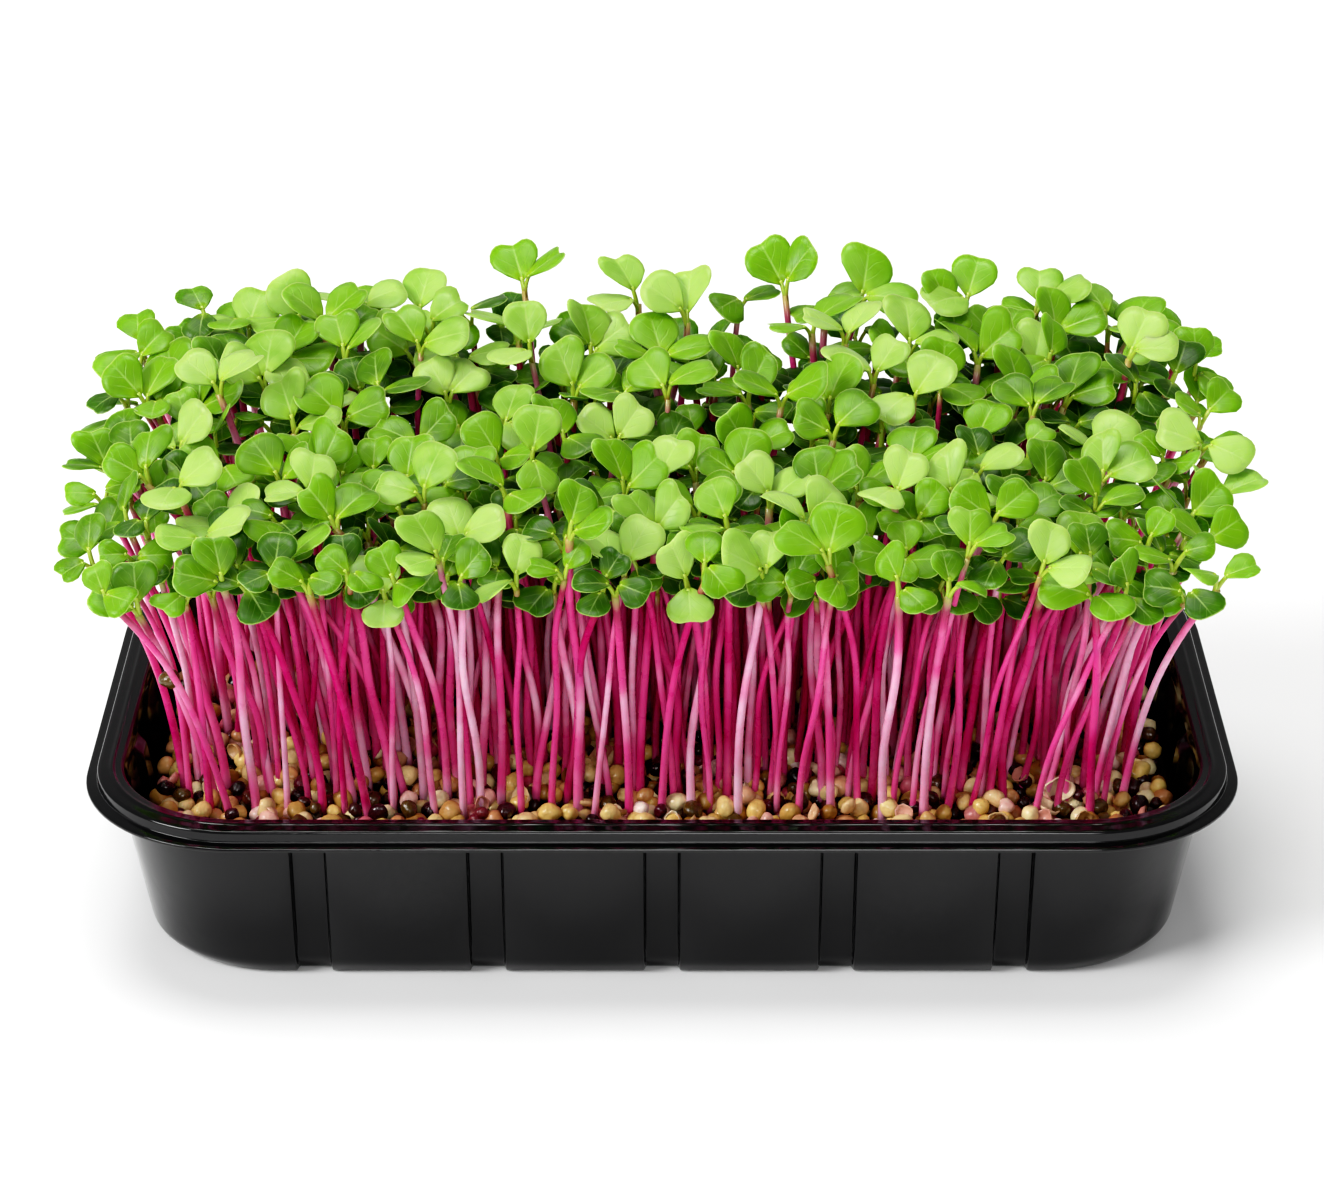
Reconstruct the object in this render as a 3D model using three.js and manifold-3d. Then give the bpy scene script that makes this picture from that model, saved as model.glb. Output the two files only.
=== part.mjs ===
// A tray of radish microgreens: a thin black tray, its growing medium, the layer of sown seeds
// and the seedlings. Millimetres, +Z up. The origin is under the middle of the tray's flat base,
// with +X along its length and -Y towards its front.
import * as THREE from 'three';
import { mergeVertices } from 'three/addons/utils/BufferGeometryUtils.js';
import Module from 'manifold-3d';

const wasm = await Module();
wasm.setup();

// The tray. Insets are measured in from the outline of its outer lip.
const TRAY_LENGTH = 230;
const TRAY_DEPTH = 129;
const SHEET = 0.9;
const LIP_CORNER = 32.3;
const LIP_WIDTH = 1.6;
const LIP_TOP = 35.6;
const RIM_TOP = 38;
const RIM_ROUND = 0.5;
const RIM_INSET = 5.4;
const WALL_CORNER = 25.5;
const NECK_INSET = 6.5;
const NECK_HEIGHT = 33.4;
const FOOT_INSET = 11.5;
const BASE_INSET = 12.5;
const BASE_BEVEL = 1.5;
const CORNER_STEPS = 4;

// The flutes pressed into its walls.
const FLUTE_PITCH = 34.6;
const FLUTE_WIDTH = 7.4;
const FLUTE_DEPTH = 1.7;
const FLUTE_BEVEL = 1.1;
const LONG_FLUTES = [-2, -1, 0, 1, 2].map((step) => step * FLUTE_PITCH);
const SHORT_FLUTES = [-0.5, 0.5].map((step) => step * FLUTE_PITCH);

// The growing medium, and the relief of seeds over it.
const GAP = 0.3;
const SOIL_TOP = 22;
const SEED_LOW = 24.4;
const SEED_RISE = 3;
const SEED_RISE_SPREAD = 1.4;
const SEED_PITCH = 10.4;
const SEED_JITTER = 0.9;

// Each bunch of seedlings stands on a strip of matted roots, sunk in a plain hole.
const BUNCH_COLUMNS = 6;
const BUNCH_ROWS = 4;
const BED_REACH = [84, 38];
const CANOPY_REACH = [99, 46];
const MAT_LENGTH = 24;
const MAT_WIDTH = 6.6;
const MAT_TOP = 25.4;
const MAT_BOTTOM = 17;
const MAT_TURN = 0.25;
const MAT_JITTER = 1.2;

// Where a bunch's seedlings stand along its mat, and where their tops spread to.
const STEM_PLACES = [-8.4, -2.8, 2.8, 8.4];
const TOP_PLACES = [[-14, 8], [-6, -8], [6, 8], [14, -8]];
const TOP_JITTER = 2.6;

// One seedling: its stem, and the pair of notched seed leaves on top.
const STEM_RADIUS = 1.25;
const STEM_SIDES = 3;
const STEM_STEPS = 3;
const STEM_BEND = { lean: 0.2, rise: 0.55 };
const ROOT_DEPTH = 21;
const MIDDLE_HEIGHT = 98;
const BACK_RISE = 11;
const FRONT_DROP = 12;
const SIDE_DROP = 10;
const HEIGHT_SPREAD = 7;
const LEAF_BASE = 1.35;
const BLADE_HALF = [[4.2, 3.1], [7.6, 4.7], [10.3, 2.7]];
const BLADE_NOTCH = 9.1;
const BLADE_THICKNESS = 0.7;
const BLADE_DROOP = 0.018;
const BLADE_CUP = [0.04, 0.26];
const BLADE_TILT = [0.1, 0.75];
const BLADE_SPLAY = 0.3;
const BLADE_SIZE = [0.88, 1.08];
const CLEARANCE = 0.35;
const MOST_TRIES = 200;

const BLACK = '#0b0b0c';
const EARTH = '#2a1a12';
const HUSK = '#c29a62';
const PINK = new THREE.Color('#c0297d');
const GREEN = new THREE.Color('#5c9a35');
const PINK_BELOW = 58;
const GREEN_ABOVE = 84;

// Draws from a fixed seed, so that the tray grows the same way each time.
function makeRandom(seed) {
  let state = seed;
  return () => {
    state = (state + 0x6d2b79f5) | 0;
    let mixed = Math.imul(state ^ (state >>> 15), 1 | state);
    mixed = (mixed + Math.imul(mixed ^ (mixed >>> 7), 61 | mixed)) ^ mixed;
    return ((mixed ^ (mixed >>> 14)) >>> 0) / 2 ** 32;
  };
}

const random = makeRandom(20);
const between = (low, high) => low + (high - low) * random();
const around = (spread) => between(-spread, spread);
const { lerp, mapLinear } = THREE.MathUtils;

// A closed body through rings of equally many points, capped at both ends.
function loft(rings) {
  const count = rings[0].length;
  const last = (rings.length - 1) * count;
  const index = [];
  for (let start = 0; start < last; start += count) {
    for (let i = 0; i < count; i += 1) {
      const [a, b] = [start + i, start + ((i + 1) % count)];
      index.push(a, b, b + count, a, b + count, a + count);
    }
  }
  const cap = (ring) => THREE.ShapeUtils.triangulateShape(ring, []);
  for (const [a, b, c] of cap(rings[0])) {
    index.push(a, c, b);
  }
  for (const [a, b, c] of cap(rings.at(-1))) {
    index.push(last + a, last + b, last + c);
  }
  return new THREE.BufferGeometry().setFromPoints(rings.flat()).setIndex(index);
}

// One level of the tray: a rounded rectangle set in from the lip, with its flutes pressed in.
function trayRing({ inset, corner, z, flute = 0, isPlain = false }) {
  const halfX = TRAY_LENGTH / 2 - inset;
  const halfY = TRAY_DEPTH / 2 - inset;
  const sides = [
    { out: [0, -1], along: [1, 0], away: halfY, reach: halfX - corner, flutes: LONG_FLUTES },
    { out: [1, 0], along: [0, 1], away: halfX, reach: halfY - corner, flutes: SHORT_FLUTES },
    { out: [0, 1], along: [-1, 0], away: halfY, reach: halfX - corner, flutes: LONG_FLUTES },
    { out: [-1, 0], along: [0, -1], away: halfX, reach: halfY - corner, flutes: SHORT_FLUTES },
  ];
  const ring = [];
  for (const { out, along, away, reach, flutes } of sides) {
    const place = (outward, sideways) => {
      const x = out[0] * outward + along[0] * sideways;
      const y = out[1] * outward + along[1] * sideways;
      ring.push(new THREE.Vector3(x, y, z));
    };
    for (const centre of isPlain ? [] : flutes) {
      place(away, centre - FLUTE_WIDTH / 2);
      place(away - flute, centre - FLUTE_WIDTH / 2 + FLUTE_BEVEL);
      place(away - flute, centre + FLUTE_WIDTH / 2 - FLUTE_BEVEL);
      place(away, centre + FLUTE_WIDTH / 2);
    }
    for (let step = 0; step <= CORNER_STEPS; step += 1) {
      const angle = (step / CORNER_STEPS) * (Math.PI / 2);
      place(away - corner + corner * Math.cos(angle), reach + corner * Math.sin(angle));
    }
  }
  return ring;
}

// How far the outside of the wall is set in at a height.
const wallInset = (z) => mapLinear(z, BASE_BEVEL, NECK_HEIGHT, FOOT_INSET, NECK_INSET);

function buildTray() {
  const lip = (inset, z) => trayRing({ inset, corner: LIP_CORNER - inset, z });
  const wall = (inset, z) => trayRing({ inset, corner: WALL_CORNER, z, flute: FLUTE_DEPTH });
  return loft([
    wall(BASE_INSET, 0),
    wall(FOOT_INSET, BASE_BEVEL),
    wall(NECK_INSET, NECK_HEIGHT),
    lip(NECK_INSET - SHEET, LIP_TOP - SHEET),
    lip(0, LIP_TOP - SHEET),
    lip(0, LIP_TOP),
    lip(LIP_WIDTH, LIP_TOP),
    lip(LIP_WIDTH, RIM_TOP - RIM_ROUND),
    lip(LIP_WIDTH + RIM_ROUND, RIM_TOP),
    lip(RIM_INSET - RIM_ROUND, RIM_TOP),
    lip(RIM_INSET, RIM_TOP - RIM_ROUND),
    wall(NECK_INSET + SHEET, NECK_HEIGHT),
    wall(FOOT_INSET + SHEET, BASE_BEVEL + SHEET),
    wall(BASE_INSET + SHEET, SHEET),
  ]);
}

// A geometry as a solid to join and cut, and back.
function toSolid(geometry) {
  const bare = geometry.clone();
  bare.deleteAttribute('normal');
  bare.deleteAttribute('uv');
  const merged = mergeVertices(bare);
  return new wasm.Manifold(new wasm.Mesh({
    numProp: 3,
    vertProperties: new Float32Array(merged.attributes.position.array),
    triVerts: new Uint32Array(merged.index.array),
  }));
}

function toGeometry(solid) {
  const { vertProperties, triVerts } = solid.getMesh();
  const geometry = new THREE.BufferGeometry();
  geometry.setAttribute('position', new THREE.BufferAttribute(vertProperties, 3));
  return geometry.setIndex(new THREE.BufferAttribute(triVerts, 1));
}

// The growing medium fills the tray up to the seeds, clear of its walls.
function buildSoil() {
  const level = (z) => {
    const inset = wallInset(z) + SHEET + GAP;
    return trayRing({ inset, corner: WALL_CORNER, z, flute: FLUTE_DEPTH });
  };
  return loft([level(BASE_BEVEL + SHEET + GAP), level(SOIL_TOP)]);
}

// The sown seeds cover it as a relief on a triangular grid: one peak a seed, each drawn a little
// off its place and height, with low points between.
function buildSeedRelief() {
  const step = SEED_PITCH / Math.sqrt(3);
  const rowStep = (step * Math.sqrt(3)) / 2;
  const columns = Math.ceil(TRAY_LENGTH / step);
  const rows = Math.ceil(TRAY_DEPTH / rowStep);
  const top = [];
  for (let row = 0; row <= rows; row += 1) {
    for (let column = 0; column <= columns; column += 1) {
      const isPeak = (column + 2 * (row % 2)) % 3 === 0;
      const rise = isPeak ? SEED_RISE + around(SEED_RISE_SPREAD) : 0;
      const x = (column + (row % 2) / 2) * step + around(SEED_JITTER) - TRAY_LENGTH / 2;
      const y = row * rowStep + around(SEED_JITTER) - TRAY_DEPTH / 2;
      top.push(new THREE.Vector3(x, y, SEED_LOW + rise));
    }
  }
  const width = columns + 1;
  const index = [];
  for (let row = 0; row < rows; row += 1) {
    for (let column = 0; column < columns; column += 1) {
      const a = row * width + column;
      const [b, c, d] = [a + 1, a + width, a + width + 1];
      const isEven = row % 2 === 0;
      index.push(a, b, isEven ? c : d);
      index.push(isEven ? b : a, d, c);
    }
  }
  const rim = [];
  for (let column = 0; column < columns; column += 1) rim.push(column);
  for (let row = 0; row < rows; row += 1) rim.push(row * width + columns);
  for (let column = columns; column > 0; column -= 1) rim.push(rows * width + column);
  for (let row = rows; row > 0; row -= 1) rim.push(row * width);
  const foot = rim.map((i) => new THREE.Vector3(top[i].x, top[i].y, 0));
  const centre = top.length + foot.length;
  rim.forEach((a, i) => {
    const next = (i + 1) % rim.length;
    const [c, d] = [top.length + i, top.length + next];
    index.push(c, d, rim[next], c, rim[next], a, centre, d, c);
  });
  const points = [...top, ...foot, new THREE.Vector3()];
  return new THREE.BufferGeometry().setFromPoints(points).setIndex(index);
}

// The seed layer's outline, plain and clear of the flutes.
function buildSeedBoundary() {
  const level = (z) => {
    const inset = wallInset(z) + SHEET + FLUTE_DEPTH + GAP;
    return trayRing({ inset, corner: WALL_CORNER, z, isPlain: true });
  };
  return loft([level(SOIL_TOP + GAP), level(NECK_HEIGHT)]);
}

// A strip of matted roots or, grown by a gap, the plain hole that it stands in.
function buildMat({ x, y, turn }, gap) {
  const half = MAT_LENGTH / 2 + gap;
  const side = MAT_WIDTH / 2 + gap;
  const flank = half - side;
  const outline = [[-half, 0], [-flank, -side], [flank, -side], [half, 0], [flank, side], [-flank, side]];
  const level = (z) => outline.map(([along, across]) => new THREE.Vector3(
    x + along * Math.cos(turn) - across * Math.sin(turn),
    y + along * Math.sin(turn) + across * Math.cos(turn),
    z,
  ));
  return loft([level(MAT_BOTTOM - gap), level(gap > 0 ? NECK_HEIGHT : MAT_TOP)]);
}

// The pair of seed leaves: two notched blades, each folded along its rib and drooping to its tip,
// that share an edge at the top of the stem. Both faces of a blade are split into triangles alike,
// in a fan from its notch.
function buildLeaves({ apex, blades }, margin) {
  const half = BLADE_THICKNESS / 2 + margin;
  const points = [];
  const index = [];
  const addPair = (point, up) => [half, -half].map((offset) => (
    points.push(point.clone().addScaledVector(up, offset)) - 1
  ));
  const frames = blades.map(({ heading, tilt }) => {
    const rise = Math.tan(tilt);
    const along = new THREE.Vector3(Math.cos(heading), Math.sin(heading), rise).normalize();
    const across = new THREE.Vector3(-Math.sin(heading), Math.cos(heading), 0);
    return { along, across, up: new THREE.Vector3().crossVectors(along, across) };
  });
  const fold = frames[0].across.clone().sub(frames[1].across).setLength(LEAF_BASE + margin);
  const shared = [1, -1].map((side) => (
    addPair(apex.clone().addScaledVector(fold, side), new THREE.Vector3(0, 0, 1))
  ));
  frames.forEach(({ along, across, up }, which) => {
    const { cup, size } = blades[which];
    const place = (far, wide) => addPair(apex.clone()
      .addScaledVector(along, far * size + margin)
      .addScaledVector(across, wide * size + Math.sign(wide) * margin)
      .addScaledVector(up, (cup * Math.abs(wide) - BLADE_DROOP * far * far) * size), up);
    const rim = [
      place(BLADE_NOTCH, 0),
      ...BLADE_HALF.toReversed().map(([far, wide]) => place(far, wide)),
      ...(which === 0 ? shared : shared.toReversed()),
      ...BLADE_HALF.map(([far, wide]) => place(far, -wide)),
    ];
    for (let i = 1; i + 1 < rim.length; i += 1) {
      index.push(rim[0][0], rim[i][0], rim[i + 1][0]);
      index.push(rim[0][1], rim[i + 1][1], rim[i][1]);
    }
    rim.forEach(([top, bottom], i) => {
      const [nextTop, nextBottom] = rim[(i + 1) % rim.length];
      const isShared = i === BLADE_HALF.length + 1;
      if (!isShared) {
        index.push(top, bottom, nextBottom, top, nextBottom, nextTop);
      }
    });
  });
  return new THREE.BufferGeometry().setFromPoints(points).setIndex(index);
}

// The stem runs from inside the root mat to the leaves, upright at first and then leaning out.
function buildStem({ root, apex }, margin) {
  const bend = new THREE.Vector3(
    lerp(root.x, apex.x, STEM_BEND.lean),
    lerp(root.y, apex.y, STEM_BEND.lean),
    lerp(root.z, apex.z, STEM_BEND.rise),
  );
  const radius = STEM_RADIUS + margin;
  const section = new THREE.Shape(Array.from({ length: STEM_SIDES }, (_, i) => {
    const angle = (i / STEM_SIDES) * 2 * Math.PI;
    return new THREE.Vector2(radius * Math.cos(angle), radius * Math.sin(angle));
  }));
  return new THREE.ExtrudeGeometry(section, {
    steps: STEM_STEPS,
    bevelEnabled: false,
    extrudePath: new THREE.QuadraticBezierCurve3(root, bend, apex),
  });
}

function buildSeedling(plan, margin = 0) {
  return toSolid(buildStem(plan, margin)).add(toSolid(buildLeaves(plan, margin)));
}

// The canopy rises towards the back, and falls off towards the front and both sides.
function canopyHeight(x, y) {
  const side = Math.abs(x) / (TRAY_LENGTH / 2);
  const back = y / (TRAY_DEPTH / 2);
  return MIDDLE_HEIGHT + (back > 0 ? BACK_RISE : FRONT_DROP) * back - SIDE_DROP * side ** 3;
}

// Draws the height, turn and leaves of a seedling that stands at one place and tops out near
// another.
function drawSeedling(foot, top) {
  const x = top.x + around(TOP_JITTER);
  const y = top.y + around(TOP_JITTER);
  const height = canopyHeight(x, y) + around(HEIGHT_SPREAD);
  const turn = between(0, Math.PI);
  const blades = [turn, turn + Math.PI + around(BLADE_SPLAY)].map((heading) => ({
    heading,
    tilt: between(...BLADE_TILT),
    cup: between(...BLADE_CUP),
    size: between(...BLADE_SIZE),
  }));
  const root = new THREE.Vector3(foot.x, foot.y, ROOT_DEPTH);
  return { root, apex: new THREE.Vector3(x, y, height), blades };
}

// Draws again until a seedling stands clear of all that is there already.
function growSeedling(foot, top, standing) {
  for (let attempt = 0; attempt < MOST_TRIES; attempt += 1) {
    const plan = drawSeedling(foot, top);
    const guard = buildSeedling(plan, CLEARANCE);
    if (standing.every((other) => guard.intersect(other).isEmpty())) {
      const seedling = buildSeedling(plan);
      standing.push(seedling);
      return seedling;
    }
  }
  throw new Error(`no room for a seedling at ${foot.x}, ${foot.y}`);
}

// The mats lie on a grid over the bed, each drawn a little off its place and turned.
function layMats() {
  const mats = [];
  for (let row = 0; row < BUNCH_ROWS; row += 1) {
    for (let column = 0; column < BUNCH_COLUMNS; column += 1) {
      const u = mapLinear(column, 0, BUNCH_COLUMNS - 1, -1, 1);
      const v = mapLinear(row, 0, BUNCH_ROWS - 1, -1, 1);
      mats.push({
        x: u * BED_REACH[0] + around(MAT_JITTER),
        y: v * BED_REACH[1] + around(MAT_JITTER),
        turn: around(MAT_TURN),
        canopy: [u * CANOPY_REACH[0], v * CANOPY_REACH[1]],
        flip: (row + column) % 2 === 0 ? 1 : -1,
      });
    }
  }
  return mats;
}

function growBunch(mat, standing) {
  const seedlings = STEM_PLACES.map((place, i) => {
    const foot = { x: mat.x + place * Math.cos(mat.turn), y: mat.y + place * Math.sin(mat.turn) };
    const [across, away] = TOP_PLACES[i];
    const top = { x: mat.canopy[0] + across, y: mat.canopy[1] + away * mat.flip };
    return growSeedling(foot, top, standing);
  });
  return seedlings.reduce((joined, seedling) => joined.add(seedling), toSolid(buildMat(mat, 0)));
}

// Stems are pink and turn green towards the leaves.
function paintByHeight(geometry) {
  const { position } = geometry.attributes;
  const colours = [];
  for (let i = 0; i < position.count; i += 1) {
    const share = THREE.MathUtils.smoothstep(position.getZ(i), PINK_BELOW, GREEN_ABOVE);
    colours.push(...PINK.clone().lerp(GREEN, share).toArray());
  }
  geometry.setAttribute('color', new THREE.Float32BufferAttribute(colours, 3));
  return geometry;
}

const plastic = new THREE.MeshStandardMaterial({ color: BLACK, roughness: 0.32, flatShading: true });
const earth = new THREE.MeshStandardMaterial({ color: EARTH, roughness: 0.95, flatShading: true });
const husk = new THREE.MeshStandardMaterial({ color: HUSK, roughness: 0.6, flatShading: true });
const leaf = new THREE.MeshStandardMaterial({ vertexColors: true, roughness: 0.5, flatShading: true });

const model = new THREE.Group();
model.name = 'radish_microgreens_tray';

function addMesh(name, geometry, material) {
  const mesh = new THREE.Mesh(geometry, material);
  mesh.name = name;
  model.add(mesh);
}

const tray = buildTray();
const mats = layMats();
const cutHoles = (solid) => mats.reduce((left, mat) => left.subtract(toSolid(buildMat(mat, GAP))), solid);
const seeds = cutHoles(toSolid(buildSeedRelief()).intersect(toSolid(buildSeedBoundary())));

addMesh('tray', tray, plastic);
addMesh('soil', toGeometry(cutHoles(toSolid(buildSoil()))), earth);
addMesh('seed_layer', toGeometry(seeds), husk);

const standing = [toSolid(tray), seeds];
mats.forEach((mat, i) => {
  const name = `seedlings_${String(i + 1).padStart(2, '0')}`;
  addMesh(name, paintByHeight(toGeometry(growBunch(mat, standing))), leaf);
});

export default model;
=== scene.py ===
# %% [markdown]
# # Radish microgreens in their tray
# A punnet of radish seedlings is a good lesson in plants made by rule. Nothing in it is modelled one
# by one: a few short functions draw a seed, a stem and a seed leaf, and a seeded random generator
# says where several hundred of them stand. The measured model comes first, as a frame that fixes
# every size, and each piece below takes the place of a plain solid in it.

# %% Load the measured model
import math

import bmesh
import bpy
import numpy as np
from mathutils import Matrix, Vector


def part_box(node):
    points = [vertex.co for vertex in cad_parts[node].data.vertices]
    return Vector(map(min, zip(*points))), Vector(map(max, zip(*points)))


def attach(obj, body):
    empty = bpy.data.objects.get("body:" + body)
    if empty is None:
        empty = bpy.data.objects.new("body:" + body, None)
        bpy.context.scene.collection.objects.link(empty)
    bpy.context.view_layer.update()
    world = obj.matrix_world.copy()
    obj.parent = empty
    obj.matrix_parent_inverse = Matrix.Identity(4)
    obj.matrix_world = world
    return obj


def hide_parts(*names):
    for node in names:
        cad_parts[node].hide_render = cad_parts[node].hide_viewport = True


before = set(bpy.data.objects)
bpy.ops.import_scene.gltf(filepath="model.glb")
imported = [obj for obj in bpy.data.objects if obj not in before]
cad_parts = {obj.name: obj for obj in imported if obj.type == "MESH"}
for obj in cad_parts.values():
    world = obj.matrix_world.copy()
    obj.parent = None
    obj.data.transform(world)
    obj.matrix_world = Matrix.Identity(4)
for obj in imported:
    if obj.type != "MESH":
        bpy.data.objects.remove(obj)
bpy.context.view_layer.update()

MM = 0.001
tray_low, tray_high = (np.array(corner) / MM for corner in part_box("tray"))
TRAY_LENGTH, TRAY_DEPTH, RIM_TOP = (round(float(side), 1) for side in tray_high - tray_low)
bunches = sorted(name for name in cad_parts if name.startswith("seedlings_"))
print("tray, mm:", TRAY_LENGTH, TRAY_DEPTH, RIM_TOP, "bunches of seedlings:", len(bunches))

# %% [markdown]
# ## Camera
# The camera comes first, because the picture decides how much detail each piece needs. It stands in
# front of the tray and looks down at it through a long lens. A long lens keeps the two ends of the
# tray nearly as large as its middle, as in a catalogue picture. The focal length is given in pixels,
# which is how a lens is found from the known outline of an object, and then turned into millimetres.

# %% Camera
IMAGE_WIDTH_PX = 1324
FOCAL_PX = 4030
SENSOR_MM = 36
CAMERA_PITCH = math.radians(25.57)
CAMERA_DISTANCE = 0.8251
AIM_HEIGHT = 0.059

camera_data = bpy.data.cameras.new("camera")
camera_data.sensor_width = SENSOR_MM
camera_data.lens = FOCAL_PX / IMAGE_WIDTH_PX * SENSOR_MM
camera = bpy.data.objects.new("camera", camera_data)
camera.location = (
    0,
    -CAMERA_DISTANCE * math.cos(CAMERA_PITCH),
    AIM_HEIGHT + CAMERA_DISTANCE * math.sin(CAMERA_PITCH),
)
camera.rotation_euler = (math.pi / 2 - CAMERA_PITCH, 0, 0)
bpy.context.collection.objects.link(camera)
bpy.context.scene.camera = camera
print("lens, mm:", round(camera_data.lens, 1), "camera at:", tuple(camera.location))

# %% [markdown]
# ## From numbers to a mesh
# Every piece is worked out as arrays of points in millimetres, because a seed of 4 is easier to
# think about than a seed of 0.004. One helper turns them into an object in metres. A `Batch`
# gathers many small shapes into one mesh, along with a few numbers for each point, such as how pale
# a stem is. The materials read those numbers back as attributes.

# %% Mesh helpers
DRAW_SEED = 7
random = np.random.default_rng(DRAW_SEED)


class Batch:
    """Small shapes that end up as one mesh, with a few numbers for each point."""

    def __init__(self):
        self.points = []
        self.faces = []
        self.values = {}
        self.count = 0

    def add(self, points, faces, **values):
        self.points.append(points)
        self.faces.extend((np.asarray(face) + self.count).tolist() for face in faces)
        for name, value in values.items():
            self.values.setdefault(name, []).append(np.broadcast_to(value, len(points)))
        self.count += len(points)


def add_piece(name, batch, slot, *nodes):
    mesh = bpy.data.meshes.new(name)
    mesh.from_pydata((np.concatenate(batch.points) * MM).tolist(), [], batch.faces)
    mesh.shade_smooth()
    for key, parts in batch.values.items():
        layer = mesh.attributes.new(key, "FLOAT", "POINT")
        layer.data.foreach_set("value", np.concatenate(parts).astype(np.float32))
    piece = bpy.data.objects.new(name, mesh)
    bpy.context.collection.objects.link(piece)
    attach(piece, "root")
    if nodes:
        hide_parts(*nodes)
    print(name, "triangles:", sum(len(face) - 2 for face in batch.faces))
    return piece


# %% [markdown]
# ## Loft
# Tray, medium, stems and stalks are all lofts: rings of equally many points, one above the other,
# with four-sided faces from each ring to the next. Blender has tools that bridge two loops, but
# when the rings come from a formula, the faces between them are a matter of counting.

# %% Faces of a loft
def loft_faces(levels, count):
    """Faces between rings of equally many points, and a cap at each end."""
    faces = []
    for level in range(levels - 1):
        start = level * count
        for i in range(count):
            j = (i + 1) % count
            faces.append((start + i, start + j, start + j + count, start + i + count))
    last = (levels - 1) * count
    faces.append(tuple(range(count - 1, -1, -1)))
    faces.append(tuple(range(last, last + count)))
    return faces


print("a box is a loft of 2 rings of 4 points, with faces:", len(loft_faces(2, 4)))

# %% [markdown]
# ## Nodes on one line
# A material is a tree of nodes, and a tree is quicker to read when a node and its values stand on
# one line. `settle` fills sockets by name, with an underscore for each space in the name, and
# either with a value or with a link from another node. `fade` is the most used: a soft step from
# one value to another.

# %% Nodes on one line
def fill(tree, socket, value):
    if isinstance(value, bpy.types.NodeSocket):
        tree.links.new(value, socket)
    else:
        socket.default_value = value


def settle(tree, node, **inputs):
    for name, value in inputs.items():
        fill(tree, node.inputs[name.replace("_", " ")], value)
    return node


def add_node(tree, kind, settings=None, **inputs):
    made = tree.nodes.new("ShaderNode" + kind)
    for name, value in (settings or {}).items():
        setattr(made, name, value)
    return settle(tree, made, **inputs)


def maths(tree, operation, *values):
    made = add_node(tree, "Math", {"operation": operation})
    for socket, value in zip(made.inputs, values):
        fill(tree, socket, value)
    return made.outputs[0]


def blend(tree, share, first, second):
    """Mixes two colours. The colour sockets of a Mix node come after those for numbers."""
    made = add_node(tree, "Mix", {"data_type": "RGBA"})
    for place, value in ((0, share), (6, first), (7, second)):
        fill(tree, made.inputs[place], value)
    return made.outputs[2]


def fade(tree, value, start, end, low=0.0, high=1.0):
    """A soft step: low before start, high after end."""
    ends = {"From_Min": start, "From_Max": end, "To_Min": low, "To_Max": high}
    made = add_node(tree, "MapRange", {"interpolation_type": "SMOOTHSTEP"}, Value=value, **ends)
    return made.outputs["Result"]


def attribute(tree, name):
    return add_node(tree, "Attribute", {"attribute_name": name}).outputs["Fac"]


def new_material(name):
    material = bpy.data.materials.new(name)
    material.use_nodes = True
    print("material:", name)
    return material, material.node_tree, material.node_tree.nodes["Principled BSDF"]


# %% [markdown]
# ## Shared effects
# Three effects turn up on almost every surface here, so each is a node group with named inputs and
# outputs. Patches are soft clouds that vary a colour or a gloss. Grain is fine relief for a bump.
# The tone scale picks a colour between deep, middle and pale, from the number that each stem, leaf
# or seed was given. Copies of the same nodes in every material would do too, but a group is built
# once and each material only says how large and how strong the effect is.

# %% Shared effects
def new_group(name, inputs, outputs):
    tree = bpy.data.node_groups.new(name, "ShaderNodeTree")
    for label, kind, value in inputs:
        socket = tree.interface.new_socket(name=label, in_out="INPUT", socket_type="NodeSocket" + kind)
        socket.default_value = value
    for label, kind in outputs:
        tree.interface.new_socket(name=label, in_out="OUTPUT", socket_type="NodeSocket" + kind)
    print("group:", name)
    return tree, tree.nodes.new("NodeGroupInput").outputs, tree.nodes.new("NodeGroupOutput").inputs


def use_group(tree, group, **inputs):
    return add_node(tree, "Group", {"node_tree": group}, **inputs).outputs


def make_patches():
    inputs = [("Scale", "Float", 40.0), ("Low", "Float", 0.0), ("High", "Float", 1.0)]
    tree, given, out = new_group("soft_patches", inputs, [("Mask", "Float")])
    place = add_node(tree, "TexCoord").outputs["Object"]
    clouds = add_node(tree, "TexNoise", Vector=place, Scale=given["Scale"], Detail=3.0, Roughness=0.55)
    soft = fade(tree, clouds.outputs["Fac"], 0.32, 0.68)
    reach = maths(tree, "SUBTRACT", given["High"], given["Low"])
    fill(tree, out["Mask"], maths(tree, "MULTIPLY_ADD", soft, reach, given["Low"]))
    return tree


def make_grain():
    inputs = [("Scale", "Float", 800.0), ("Pits", "Float", 0.5)]
    tree, given, out = new_group("fine_grain", inputs, [("Height", "Float"), ("Mask", "Float")])
    place = add_node(tree, "TexCoord").outputs["Object"]
    rough = add_node(tree, "TexNoise", Vector=place, Scale=given["Scale"], Detail=4.0, Roughness=0.6)
    cells = add_node(tree, "TexVoronoi", Vector=place, Scale=given["Scale"])
    pits = maths(tree, "MULTIPLY", fade(tree, cells.outputs["Distance"], 0.1, 0.6), given["Pits"])
    fill(tree, out["Height"], maths(tree, "ADD", rough.outputs["Fac"], pits))
    fill(tree, out["Mask"], fade(tree, rough.outputs["Fac"], 0.4, 0.66))
    return tree


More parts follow.
